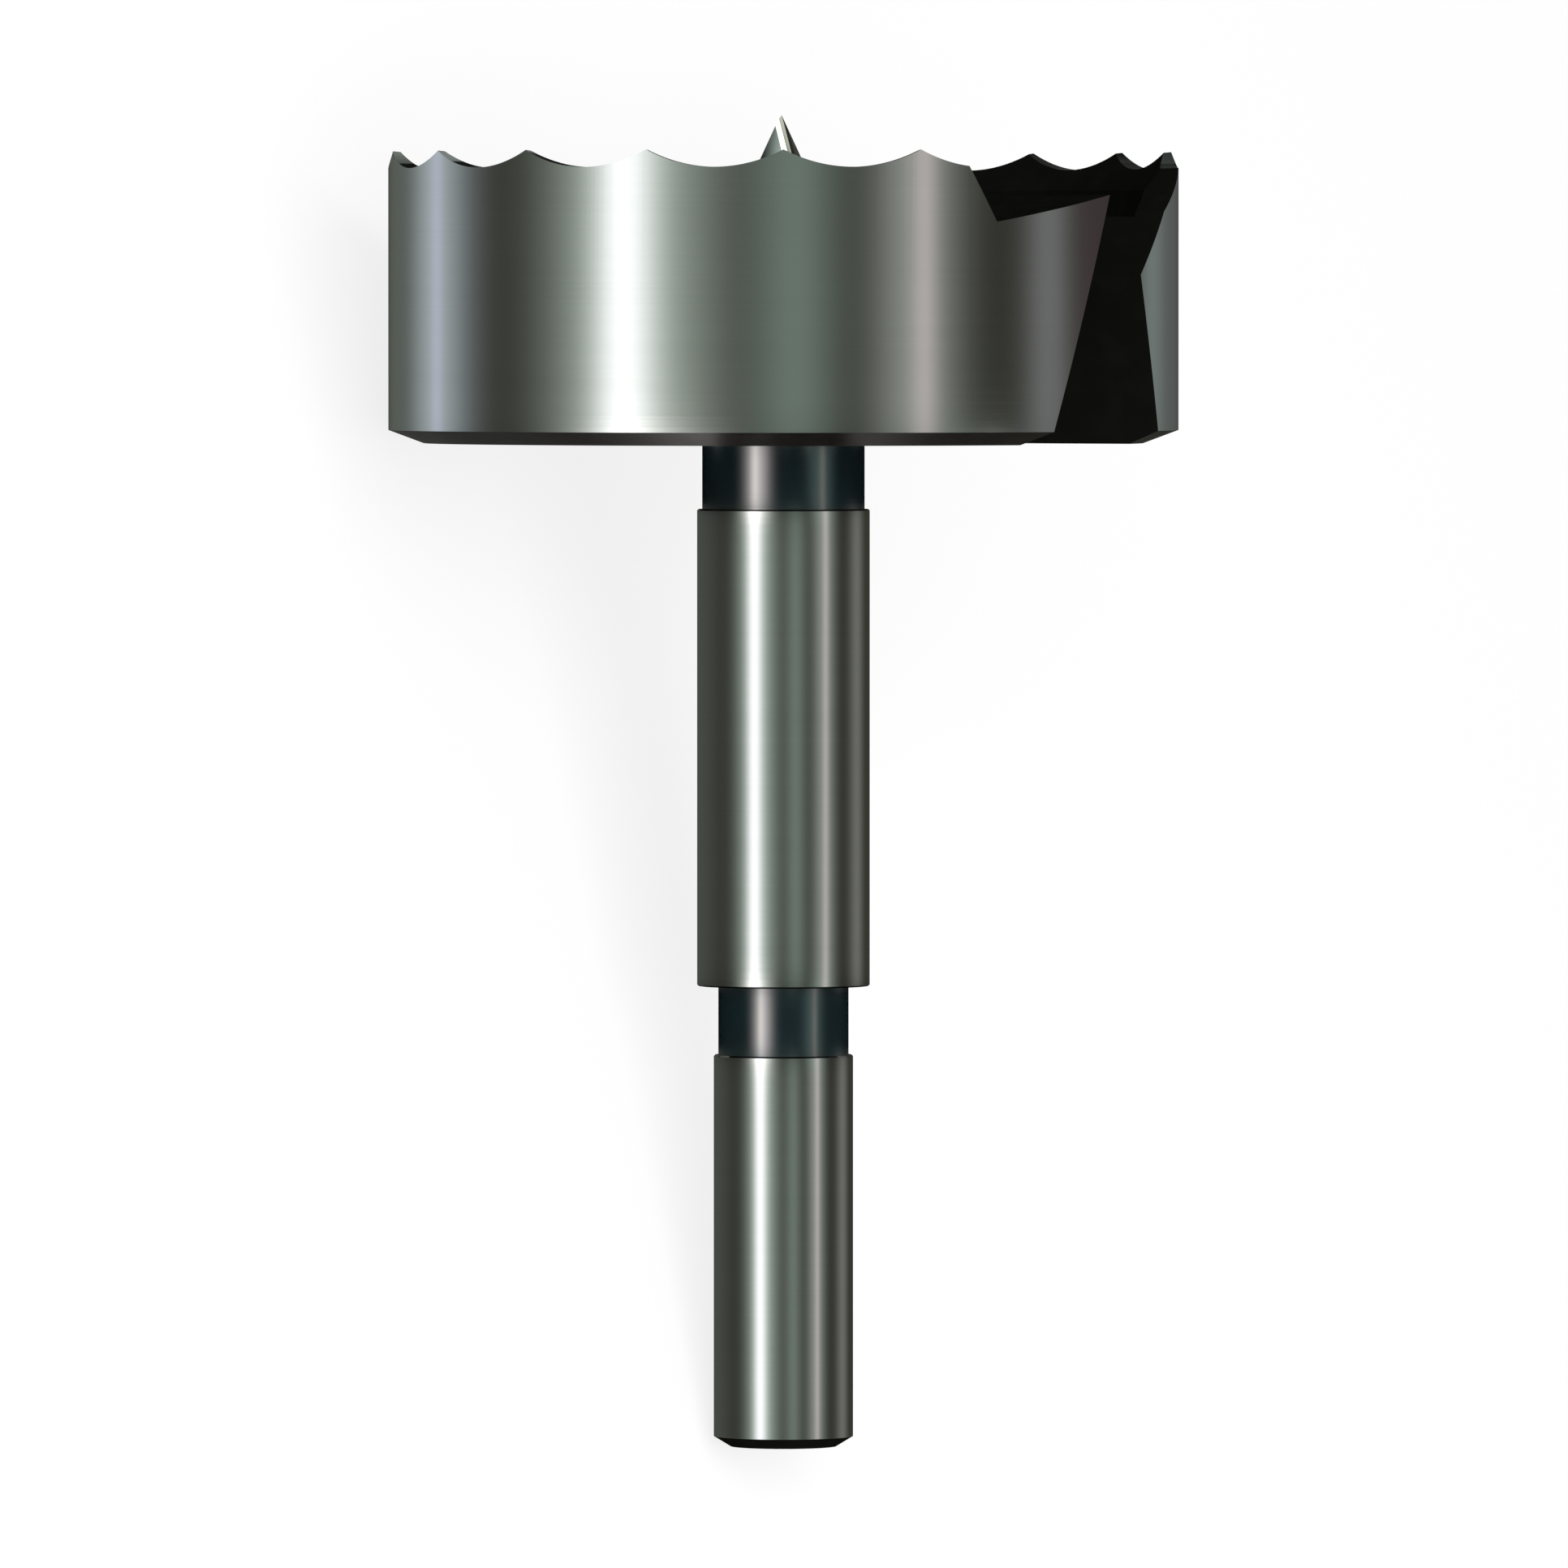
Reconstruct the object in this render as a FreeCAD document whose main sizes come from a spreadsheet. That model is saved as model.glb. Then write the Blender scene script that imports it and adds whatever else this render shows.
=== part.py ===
# Forstner bit with a scalloped rim, turned and milled from one piece of tool steel.
#
# The bit is modelled about its own axis: the shank's end is at z = 0 and the centre point is up.
# Cutter one lies along +X and sweeps towards +Y when the bit turns. Cutter two is half a turn away.
# Last, the whole bit is laid down as it comes to rest on a bench: on the two corners of a chip
# throat and on the shank's end.
import FreeCAD, Part
import math
import os
import sys
import Sketcher
from enum import IntEnum

NODE = "forstner_bit"
SHEET = "sizes"
FULL_TURN = 360


class Rail(IntEnum):
    """Sketcher's own numbers for a sketch's two axes; the first also stands for its origin."""

    LEVEL = -1
    UPRIGHT = -2


class Spot(IntEnum):
    """Sketcher's own numbers for the points of a line or an arc."""

    START = 1
    END = 2
    CENTRE = 3



# Driving dimensions, in millimetres and degrees
SIZES = [
    ("shank_dia", 9.525, "three-eighths shank, ground"),
    ("shank_length", 26.8, "shank's end to the lower neck"),
    ("shank_bevel_height", 0.7, "bevel on the shank's end, along the axis"),
    ("shank_bevel_width", 1.15, "bevel on the shank's end, across"),
    ("lower_neck_relief", 0.31, "how far the lower neck lies below the shank's surface"),
    ("lower_neck_length", 4.7, "gap between shank and collar"),
    ("collar_dia", 11.8, "thick ground length"),
    ("collar_length", 32.6, "thick ground length, end to end"),
    ("upper_neck_relief", 0.35, "how far the upper neck lies below the collar's surface"),
    ("upper_neck_length", 4.5, "gap between collar and head"),
    ("edge_break", 0.18, "small bevel on the ground lengths"),
    ("root_radius", 0.5, "rounding where the upper neck meets the head"),
    ("head_dia", 53.975, "cutting diameter, two and one eighth inches"),
    ("base_bevel_height", 0.9, "bevel under the head, along the axis"),
    ("base_bevel_width", 2.4, "bevel under the head, across"),
    ("wall_height", 19.0, "head's wall from the base bevel to the tooth tips"),
    ("rim_thickness", 2.2, "rim's wall at its root"),
    ("rim_lip", 0.5, "rim's wall at the tooth tips"),
    ("rim_bevel_depth", 2.6, "inner bevel of the rim, less than the drop to the cutting edges"),
    ("tooth_count", 18, "scallops round a whole rim"),
    ("tooth_depth", 1.17, "scallop from tip to valley"),
    ("tooth_turn", -4.8, "angle from cutter one's edge to the nearest valley"),
    ("edge_drop", 3.0, "cutting edges below the tooth tips"),
    ("relief_angle", 10.0, "slope of the top face behind a cutting edge"),
    ("rake_angle", 19.8, "lean of a cutter's front face"),
    ("nose_gap", 4.2, "throat from the cutting edge's plane to the nose across it"),
    ("nose_drop", 5.4, "nose below the cutting edge"),
    ("flare_angle", 16.3, "throat's far side below the nose, from upright"),
    ("ramp_angle", 44.3, "throat's far side just above the nose, from level"),
    ("ramp_rise", 4.3, "height of that steeper part"),
    ("crown_angle", 26.2, "throat's far side above it, from level"),
    ("notch_length", 10.4, "rim cut away behind a cutting edge, at the notch's floor"),
    ("notch_angle", 27.5, "lean of the notch's end"),
    ("web_top", 2.8, "half of the web between the throats, at the cutting edges"),
    ("web_base", 8.5, "half of the web between the throats, at the base"),
    ("throat_radius", 2.0, "corner radius at a throat's inner end"),
    ("point_height", 5.5, "centre point above the cutting edges"),
    ("point_reach", 2.9, "axis to the point's ridges, at the cutting edges"),
    ("point_flat", 1.2, "width of the point's two ground flats, at the cutting edges"),
    ("point_turn", -25.5, "angle from cutter one's edge to the middle of a flat"),
    ("point_root", 0.9, "how far the point's foot is sunk below the cutting edges"),
    ("overrun", 1.0, "how far a cutter starts outside the blank"),
]

# Levels along the axis, as expressions in the sheet's names
SHANK_TOP = "sizes.shank_length"
LOWER_NECK_TOP = f"({SHANK_TOP} + sizes.lower_neck_length)"
COLLAR_TOP = f"({LOWER_NECK_TOP} + sizes.collar_length)"
BASE = f"({COLLAR_TOP} + sizes.upper_neck_length)"
WALL_FOOT = f"({BASE} + sizes.base_bevel_height)"
TIPS = f"({WALL_FOOT} + sizes.wall_height)"
ABOVE_TIPS = f"({TIPS} + sizes.overrun)"
EDGE = f"({TIPS} - sizes.edge_drop)"
NOSE = f"({EDGE} - sizes.nose_drop)"
BELOW_BASE = f"({BASE} - sizes.overrun)"

# Radii, as expressions in the sheet's names
SHANK_R = "sizes.shank_dia / 2"
LOWER_NECK_R = f"({SHANK_R} - sizes.lower_neck_relief)"
COLLAR_R = "sizes.collar_dia / 2"
UPPER_NECK_R = f"({COLLAR_R} - sizes.upper_neck_relief)"
HEAD_R = "sizes.head_dia / 2"
RECESS_R = f"({HEAD_R} - sizes.rim_thickness)"


def make_sheet(doc):
    """The spreadsheet that holds every driving dimension."""
    sheet = doc.addObject("Spreadsheet::Sheet", SHEET)
    for row, (name, value, note) in enumerate(SIZES, start=1):
        sheet.set(f"A{row}", name)
        sheet.set(f"B{row}", str(value))
        sheet.set(f"C{row}", note)
        sheet.setAlias(f"B{row}", name)
    doc.recompute()
    return sheet


def origin_plane(body, role):
    """One of the body's own origin planes, such as XY_Plane."""
    return next(part for part in body.Origin.OriginFeatures if part.Role == role)


def bind_offset(thing, height=None, turn_axis=None, turn=None, shift=None):
    """Binds an attachment offset: a height along the plane's normal, a shift up it, and a turn."""
    if turn_axis is not None:
        some_turn = FreeCAD.Rotation(turn_axis, 1.0)
        thing.AttachmentOffset = FreeCAD.Placement(FreeCAD.Vector(), some_turn)
        thing.setExpression("AttachmentOffset.Rotation.Angle", turn)
    if shift is not None:
        thing.setExpression("AttachmentOffset.Base.y", shift)
    if height is not None:
        thing.setExpression("AttachmentOffset.Base.z", height)


def attach(body, kind, name, role, **offset):
    """A new sketch or datum plane of the body, flat on one of its origin planes."""
    thing = body.newObject(kind, name)
    thing.AttachmentSupport = [(origin_plane(body, role), "")]
    thing.MapMode = "FlatFace"
    bind_offset(thing, **offset)
    return thing


def new_sketch(body, name, role, **offset):
    """A sketch on one of the body's origin planes."""
    return attach(body, "Sketcher::SketchObject", name, role, **offset)


def datum_plane(body, name, role, **offset):
    """A plane for a cut to end at."""
    return attach(body, "PartDesign::Plane", name, role, **offset)


def pin_coordinate(sketch, axis, line, name, expression):
    """Holds the start of a line at a signed distance from the sketch's origin."""
    if expression == "0":
        rail = Rail.UPRIGHT if axis == "X" else Rail.LEVEL
        sketch.addConstraint(Sketcher.Constraint("PointOnObject", line, Spot.START, rail))
        return
    value = float(sketch.evalExpression(expression))
    rule = Sketcher.Constraint("Distance" + axis, Rail.LEVEL, Spot.START, line, Spot.START, value)
    index = sketch.addConstraint(rule)
    sketch.renameConstraint(index, name)
    sketch.setExpression(f"Constraints.{name}", expression)


def polygon(sketch, corners):
    """A closed outline. Each corner is a name with its two coordinates, as expressions."""
    spots = []
    for _, across, up in corners:
        x = float(sketch.evalExpression(across))
        y = float(sketch.evalExpression(up))
        spots.append(FreeCAD.Vector(x, y, 0))
    for line, spot in enumerate(spots):
        following = spots[(line + 1) % len(spots)]
        sketch.addGeometry(Part.LineSegment(spot, following))
    for line in range(len(spots)):
        before = (line - 1) % len(spots)
        sketch.addConstraint(Sketcher.Constraint("Coincident", before, Spot.END, line, Spot.START))
    for line, (name, across, up) in enumerate(corners):
        pin_coordinate(sketch, "X", line, name + "_across", across)
        pin_coordinate(sketch, "Y", line, name + "_up", up)


def circle(sketch, up, radius):
    """A circle centred on the sketch's upright axis."""
    centre = FreeCAD.Vector(0, float(sketch.evalExpression(up)), 0)
    round_line = Part.Circle(centre, FreeCAD.Vector(0, 0, 1), float(sketch.evalExpression(radius)))
    sketch.addGeometry(round_line)
    sketch.addConstraint(Sketcher.Constraint("PointOnObject", 0, Spot.CENTRE, Rail.UPRIGHT))
    height = Sketcher.Constraint("DistanceY", Rail.LEVEL, Spot.START, 0, Spot.CENTRE, centre.y)
    sketch.renameConstraint(sketch.addConstraint(height), "centre_up")
    sketch.setExpression("Constraints.centre_up", up)
    size = Sketcher.Constraint("Radius", 0, round_line.Radius)
    sketch.renameConstraint(sketch.addConstraint(size), "radius")
    sketch.setExpression("Constraints.radius", radius)


def half_disc(sketch, radius):
    """The half of a disc that lies below the sketch's level axis."""
    size = float(sketch.evalExpression(radius))
    ring = Part.Circle(FreeCAD.Vector(), FreeCAD.Vector(0, 0, 1), size)
    sketch.addGeometry(Part.ArcOfCircle(ring, math.pi, 2 * math.pi))
    sketch.addGeometry(Part.LineSegment(FreeCAD.Vector(size, 0, 0), FreeCAD.Vector(-size, 0, 0)))
    sketch.addConstraint(Sketcher.Constraint("Coincident", 0, Spot.CENTRE, Rail.LEVEL, Spot.START))
    sketch.addConstraint(Sketcher.Constraint("Coincident", 0, Spot.END, 1, Spot.START))
    sketch.addConstraint(Sketcher.Constraint("Coincident", 1, Spot.END, 0, Spot.START))
    sketch.addConstraint(Sketcher.Constraint("PointOnObject", 1, Spot.START, Rail.LEVEL))
    sketch.addConstraint(Sketcher.Constraint("PointOnObject", 1, Spot.END, Rail.LEVEL))
    index = sketch.addConstraint(Sketcher.Constraint("Radius", 0, size))
    sketch.renameConstraint(index, "radius")
    sketch.setExpression("Constraints.radius", radius)


def polar_pattern(body, name, cut, upright_sketch, count):
    """Copies of a cut, evenly spaced about the bit's axis."""
    pattern = body.newObject("PartDesign::PolarPattern", name)
    pattern.Originals = [cut]
    pattern.Axis = (upright_sketch, ["V_Axis"])
    pattern.Angle = FULL_TURN
    if isinstance(count, int):
        pattern.Occurrences = count
    else:
        pattern.setExpression("Occurrences", count)
    body.Tip = pattern
    body.Document.recompute()
    return pattern


def must_cut(before, after, what):
    """Stops when a cut has taken nothing away."""
    if not after.Shape.Volume < before.Shape.Volume - 1e-6:
        raise RuntimeError(f"{what} cut nothing")


def turn_blank(body):
    """The lathe work: shank, necks, collar, and a head with a bevelled rim round its face."""
    profile = new_sketch(body, "turned_profile", "XZ_Plane")
    polygon(profile, [
        ("end_middle", "0", "0"),
        ("end_edge", f"{SHANK_R} - sizes.shank_bevel_width", "0"),
        ("shank_foot", SHANK_R, "sizes.shank_bevel_height"),
        ("shank_head", SHANK_R, f"{SHANK_TOP} - sizes.edge_break"),
        ("shank_break", f"{SHANK_R} - sizes.edge_break", SHANK_TOP),
        ("lower_neck_foot", LOWER_NECK_R, SHANK_TOP),
        ("lower_neck_head", LOWER_NECK_R, LOWER_NECK_TOP),
        ("collar_lower_break", f"{COLLAR_R} - sizes.edge_break", LOWER_NECK_TOP),
        ("collar_foot", COLLAR_R, f"{LOWER_NECK_TOP} + sizes.edge_break"),
        ("collar_head", COLLAR_R, f"{COLLAR_TOP} - sizes.edge_break"),
        ("collar_upper_break", f"{COLLAR_R} - sizes.edge_break", COLLAR_TOP),
        ("upper_neck_foot", UPPER_NECK_R, COLLAR_TOP),
        ("upper_neck_head", UPPER_NECK_R, BASE),
        ("base_edge", f"{HEAD_R} - sizes.base_bevel_width", BASE),
        ("wall_foot", HEAD_R, WALL_FOOT),
        ("wall_head", HEAD_R, ABOVE_TIPS),
        ("lip", f"{HEAD_R} - sizes.rim_lip", ABOVE_TIPS),
        ("lip_tip", f"{HEAD_R} - sizes.rim_lip", TIPS),
        ("rim_root", RECESS_R, f"{TIPS} - sizes.rim_bevel_depth"),
        ("recess_corner", RECESS_R, EDGE),
        ("recess_middle", "0", EDGE),
    ])
    blank = body.newObject("PartDesign::Revolution", "turned_blank")
    blank.Profile = profile
    blank.ReferenceAxis = (profile, ["V_Axis"])
    blank.Angle = FULL_TURN
    body.Document.recompute()
    return round_root(body, blank), profile


def round_root(body, blank):
    """The small radius that a turning tool leaves where the upper neck runs into the head."""
    circles = [
        (line.Vertexes[0].Z, f"Edge{number}")
        for number, line in enumerate(blank.Shape.Edges, start=1)
        if isinstance(line.Curve, Part.Circle) and line.Curve.Radius < blank.Shape.BoundBox.XMax / 2
    ]
    rounding = body.newObject("PartDesign::Fillet", "root_rounding")
    rounding.Base = (blank, [max(circles)[1]])
    rounding.setExpression("Radius", "sizes.root_radius")
    body.Tip = rounding
    body.Document.recompute()
    return rounding


def cut_teeth(body, before, upright_sketch):
    """The scalloped rim: one round grinding pass through the rim, repeated about the axis."""
    half_pitch = f"({HEAD_R} * sin(180 deg / sizes.tooth_count))"
    pass_radius = f"(({half_pitch} ^ 2 + sizes.tooth_depth ^ 2) / (2 * sizes.tooth_depth))"
    wheel = new_sketch(
        body, "scallop_wheel", "YZ_Plane",
        turn_axis=FreeCAD.Vector(0, 1, 0), turn="sizes.tooth_turn",
    )
    circle(wheel, f"{TIPS} - sizes.tooth_depth + {pass_radius}", pass_radius)
    scallop = body.newObject("PartDesign::Pocket", "scallop")
    scallop.Profile = wheel
    scallop.Reversed = True
    scallop.setExpression("Length", f"{HEAD_R} + sizes.overrun")
    body.Document.recompute()
    must_cut(before, scallop, "the scallop")
    return polar_pattern(body, "teeth", scallop, upright_sketch, "sizes.tooth_count")


def cut_relief(body, before, upright_sketch):
    """The two sloping top faces, which meet in a ridge that holds both cutting edges."""
    plane = datum_plane(
        body, "relief_plane", "XY_Plane",
        height=EDGE, turn_axis=FreeCAD.Vector(1, 0, 0), turn="sizes.relief_angle",
    )
    outline = new_sketch(body, "relief_outline", "XY_Plane", height=ABOVE_TIPS)
    half_disc(outline, RECESS_R)
    relief = body.newObject("PartDesign::Pocket", "relief")
    relief.Profile = outline
    relief.Type = "UpToFace"
    relief.UpToFace = (plane, [""])
    body.Document.recompute()
    must_cut(before, relief, "the relief")
    return polar_pattern(body, "relief_faces", relief, upright_sketch, 2)


def cut_throats(body, before, upright_sketch):
    """The chip throats. The outline gives a cutter its raked front face, opens the rim above
    and behind the edge, and forms the nose, ramp and flared side across the throat."""
    end_plane = datum_plane(
        body, "throat_end_plane", "YZ_Plane",
        height="sizes.web_top", shift=EDGE, turn_axis=FreeCAD.Vector(-1, 0, 0),
        turn=f"atan((sizes.web_base - sizes.web_top) / ({EDGE} - {BASE}))",
    )
    outline = new_sketch(body, "throat_outline", "YZ_Plane", height=f"{HEAD_R} + sizes.overrun")
    notch_floor = f"({EDGE} - sizes.notch_length * tan(sizes.relief_angle))"
    notch_lean = f"({ABOVE_TIPS} - {notch_floor}) * tan(sizes.notch_angle)"
    knee_across = "sizes.nose_gap + sizes.ramp_rise / tan(sizes.ramp_angle)"
    knee_up = f"({NOSE} + sizes.ramp_rise)"
    polygon(outline, [
        ("notch_top", f"-(sizes.notch_length + {notch_lean})", ABOVE_TIPS),
        ("notch_corner", "-sizes.notch_length", notch_floor),
        ("cutting_edge", "0", EDGE),
        ("rake_foot", f"-({EDGE} - {BELOW_BASE}) * tan(sizes.rake_angle)", BELOW_BASE),
        ("flare_foot", f"sizes.nose_gap + ({NOSE} - {BELOW_BASE}) * tan(sizes.flare_angle)", BELOW_BASE),
        ("nose", "sizes.nose_gap", NOSE),
        ("ramp_knee", knee_across, knee_up),
        ("ramp_top", f"{knee_across} + ({ABOVE_TIPS} - {knee_up}) / tan(sizes.crown_angle)", ABOVE_TIPS),
    ])
    throat = body.newObject("PartDesign::Pocket", "throat")
    throat.Profile = outline
    throat.Type = "UpToFace"
    throat.UpToFace = (end_plane, [""])
    body.Document.recompute()
    must_cut(before, throat, "the throat")
    return polar_pattern(body, "throats", throat, upright_sketch, 2)


def add_centre_point(body):
    """The centre point: a four-sided point with a narrow ground flat on two of its ridges."""
    foot_share = "((sizes.point_height + sizes.point_root) / sizes.point_height)"
    ridge = f"sizes.point_reach * {foot_share}"
    half_flat = f"sizes.point_flat / 2 * {foot_share}"
    flat = f"({ridge} - {half_flat})"
    foot = new_sketch(
        body, "point_foot", "XY_Plane",
        height=f"{EDGE} - sizes.point_root",
        turn_axis=FreeCAD.Vector(0, 0, 1), turn="sizes.point_turn",
    )
    polygon(foot, [
        ("near_flat_right", flat, f"-{half_flat}"),
        ("near_flat_left", flat, half_flat),
        ("left_ridge", "0", ridge),
        ("far_flat_left", f"-{flat}", half_flat),
        ("far_flat_right", f"-{flat}", f"-{half_flat}"),
        ("right_ridge", "0", f"-{ridge}"),
    ])
    apex = new_sketch(body, "point_apex", "XY_Plane", height=f"{EDGE} + sizes.point_height")
    apex.addGeometry(Part.Point(FreeCAD.Vector()))
    apex.addConstraint(Sketcher.Constraint("Coincident", 0, Spot.START, Rail.LEVEL, Spot.START))
    point = body.newObject("PartDesign::AdditiveLoft", "centre_point")
    point.Profile = foot
    point.Sections = [(apex, ["Vertex1"])]
    point.Ruled = True
    body.Tip = point
    body.Document.recompute()
    return point


def levels(sheet):
    """Heights along the axis that the placing and the rounding need: wall foot, edge and nose."""
    value = sheet.get
    base = (
        value("shank_length") + value("lower_neck_length")
        + value("collar_length") + value("upper_neck_length")
    )
    wall_foot = base + value("base_bevel_height")
    edge = wall_foot + value("wall_height") - value("edge_drop")
    return base, wall_foot, edge, edge - value("nose_drop")


def throat_corner_edges(sheet, shape):
    """Names of the edges where a throat's sloping inner end meets its sides."""
    base, _, edge, nose = levels(sheet)
    web_top = sheet.get("web_top")
    slope = (sheet.get("web_base") - web_top) / (edge - base)
    names = []
    for number, line in enumerate(shape.Edges, start=1):
        ends = [vertex.Point for vertex in line.Vertexes]
        on_end_plane = all(abs(abs(end.x) - web_top - (edge - end.z) * slope) < 1e-4 for end in ends)
        low, high = min(end.z for end in ends), max(end.z for end in ends)
        long_enough = high - low > sheet.get("throat_radius")
        if on_end_plane and low < nose + 1e-4 and long_enough:
            names.append(f"Edge{number}")
    return names


def round_throats(body, before, sheet):
    """The corners that a round milling cutter leaves at a throat's inner end."""
    edges = throat_corner_edges(sheet, before.Shape)
    rounding = body.newObject("PartDesign::Fillet", "throat_corners")
    rounding.Base = (before, edges)
    rounding.setExpression("Radius", "sizes.throat_radius")
    body.Tip = rounding
    body.Document.recompute()
    return rounding


def lay_down(body, sheet):
    """Lays the bit on the bench, on two corners of a chip throat and on the shank's end.

    The floor is z = 0, the origin is under the middle of the bit, and the point is towards +X.
    """
    value = sheet.get
    head_r = value("head_dia") / 2
    _, wall_foot, edge, nose = levels(sheet)
    rake = math.tan(math.radians(value("rake_angle")))
    flare = math.tan(math.radians(value("flare_angle")))
    rake_corner = math.asin(-(edge - wall_foot) * rake / head_r)
    flare_corner = math.asin((value("nose_gap") + (nose - wall_foot) * flare) / head_r)
    gap_middle = (rake_corner + flare_corner) / 2
    corner_reach = head_r * math.cos((flare_corner - rake_corner) / 2)
    rise = corner_reach - value("shank_dia") / 2
    run = wall_foot - value("shank_bevel_height")
    lean = math.atan(rise / run)
    along = FreeCAD.Vector(math.cos(lean), 0, math.sin(lean))
    upward = FreeCAD.Vector(-math.sin(lean), 0, math.cos(lean))
    tilt = FreeCAD.Rotation(upward, FreeCAD.Vector(0, -1, 0), along, "ZXY")
    roll = FreeCAD.Rotation(FreeCAD.Vector(0, 0, 1), -math.degrees(gap_middle))
    body.Placement = FreeCAD.Placement(FreeCAD.Vector(), tilt.multiply(roll))
    body.Document.recompute()
    box = Part.getShape(body).optimalBoundingBox(False, False)
    body.Placement.Base = FreeCAD.Vector(-box.Center.x, -box.Center.y, -box.ZMin)
    body.Document.recompute()


def check(doc, parts):
    """Stops if anything in the document failed, or a part has no sound solid."""
    for thing in doc.Objects:
        if {"Invalid", "Error"} & set(thing.State):
            raise RuntimeError(f"{thing.Label} failed: {thing.State}")
    for part in parts:
        shape = part.Shape
        if shape.isNull() or not shape.isValid() or len(shape.Solids) != 1:
            raise RuntimeError(f"{part.Label} has no sound solid")


def main():
    """Builds the bit and writes it as one STEP file."""
    doc = FreeCAD.newDocument(NODE)
    sheet = make_sheet(doc)
    body = doc.addObject("PartDesign::Body", "bit")
    body.Label = NODE
    blank, upright_sketch = turn_blank(body)
    teeth = cut_teeth(body, blank, upright_sketch)
    relief = cut_relief(body, teeth, upright_sketch)
    throats = cut_throats(body, relief, upright_sketch)
    rounded = round_throats(body, throats, sheet)
    add_centre_point(body)
    lay_down(body, sheet)
    check(doc, [body])
    os.makedirs("parts", exist_ok=True)
    Part.getShape(body).exportStep(f"parts/{body.Label}.step")
    return doc


main()
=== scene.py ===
"""Forstner bit: the finished look of the bit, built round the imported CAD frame.

The bit is modelled upright about its own axis, shank's end at z = 0 and centre point up, and is
then laid on the floor where the CAD solid lies. All lengths are in metres.
"""

from __future__ import annotations

import logging
import math
from dataclasses import dataclass
from enum import Enum

import bpy
from mathutils import Matrix, Vector

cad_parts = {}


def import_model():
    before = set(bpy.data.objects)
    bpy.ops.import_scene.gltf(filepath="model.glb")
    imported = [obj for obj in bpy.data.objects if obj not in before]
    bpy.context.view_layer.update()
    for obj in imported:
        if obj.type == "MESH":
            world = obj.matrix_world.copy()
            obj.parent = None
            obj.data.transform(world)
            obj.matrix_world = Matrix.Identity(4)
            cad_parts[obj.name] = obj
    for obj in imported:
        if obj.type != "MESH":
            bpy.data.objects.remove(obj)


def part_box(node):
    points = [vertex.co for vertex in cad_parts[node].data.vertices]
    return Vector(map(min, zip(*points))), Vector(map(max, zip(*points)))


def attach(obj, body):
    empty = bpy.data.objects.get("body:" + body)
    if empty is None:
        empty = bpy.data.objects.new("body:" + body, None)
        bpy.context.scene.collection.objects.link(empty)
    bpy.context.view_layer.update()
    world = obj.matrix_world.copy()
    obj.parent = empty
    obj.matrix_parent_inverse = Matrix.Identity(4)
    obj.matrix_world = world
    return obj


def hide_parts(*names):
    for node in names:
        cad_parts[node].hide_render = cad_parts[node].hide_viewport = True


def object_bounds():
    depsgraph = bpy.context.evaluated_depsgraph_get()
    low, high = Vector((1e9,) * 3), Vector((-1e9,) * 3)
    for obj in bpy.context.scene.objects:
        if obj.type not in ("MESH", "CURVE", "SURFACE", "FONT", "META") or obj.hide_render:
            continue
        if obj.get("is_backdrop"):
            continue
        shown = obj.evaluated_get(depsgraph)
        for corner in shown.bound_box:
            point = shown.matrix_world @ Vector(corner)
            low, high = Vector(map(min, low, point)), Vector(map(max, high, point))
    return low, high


LOG = logging.getLogger("forstner_bit")
MM = 0.001
WHITE = (1, 1, 1, 1)
SEAM_GAP = 0.01 * MM
MERGE_GAP = 0.003 * MM
SLIVER = 0.0005 * MM
HOLE_SIDES = 8
TOUCH = 1e-6
Colour = tuple[float, float, float]


# Sizes


@dataclass(frozen=True)
class ShankSizes:
    """The turned length below the head."""

    shank_r: float = 4.7625 * MM
    shank_top: float = 26.8 * MM
    bevel_height: float = 0.7 * MM
    bevel_width: float = 1.15 * MM
    lower_neck_r: float = 4.4525 * MM
    lower_neck_top: float = 31.5 * MM
    collar_r: float = 5.9 * MM
    collar_top: float = 64.1 * MM
    upper_neck_r: float = 5.55 * MM
    edge_break: float = 0.1 * MM


@dataclass(frozen=True)
class HeadSizes:
    """The head, its rim and its throats."""

    head_r: float = 26.9875 * MM
    base: float = 68.6 * MM
    base_bevel_height: float = 0.9 * MM
    base_bevel_width: float = 2.4 * MM
    tips: float = 88.5 * MM
    rim_thickness: float = 2.2 * MM
    rim_lip: float = 0.5 * MM
    rim_bevel_depth: float = 2.6 * MM
    tooth_count: int = 18
    tooth_depth: float = 1.17 * MM
    tooth_turn: float = math.radians(-4.8)
    edge_drop: float = 3.0 * MM
    relief_angle: float = math.radians(10.0)
    rake_angle: float = math.radians(19.8)
    nose_gap: float = 4.2 * MM
    nose_drop: float = 5.4 * MM
    flare_angle: float = math.radians(16.3)
    ramp_angle: float = math.radians(44.3)
    ramp_rise: float = 4.3 * MM
    crown_angle: float = math.radians(26.2)
    notch_length: float = 10.4 * MM
    notch_angle: float = math.radians(27.5)
    web_top: float = 2.8 * MM
    web_base: float = 8.5 * MM
    throat_radius: float = 2.0 * MM
    overrun: float = 1.0 * MM

    @property
    def wall_foot(self) -> float:
        """Height of the wall's lower edge."""
        return self.base + self.base_bevel_height

    @property
    def edge(self) -> float:
        """Height of the two cutting edges."""
        return self.tips - self.edge_drop

    @property
    def nose(self) -> float:
        """Height of the nose across a throat from its cutting edge."""
        return self.edge - self.nose_drop

    @property
    def recess_r(self) -> float:
        """Radius of the recess inside the rim."""
        return self.head_r - self.rim_thickness

    @property
    def web_slope(self) -> float:
        """How fast the web between the throats widens downwards."""
        return (self.web_base - self.web_top) / (self.edge - self.base)

    @property
    def core_floor(self) -> float:
        """Depth to which the blank is bored before the core's top is added."""
        return self.edge - self.recess_r * math.tan(self.relief_angle) - self.overrun


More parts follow.
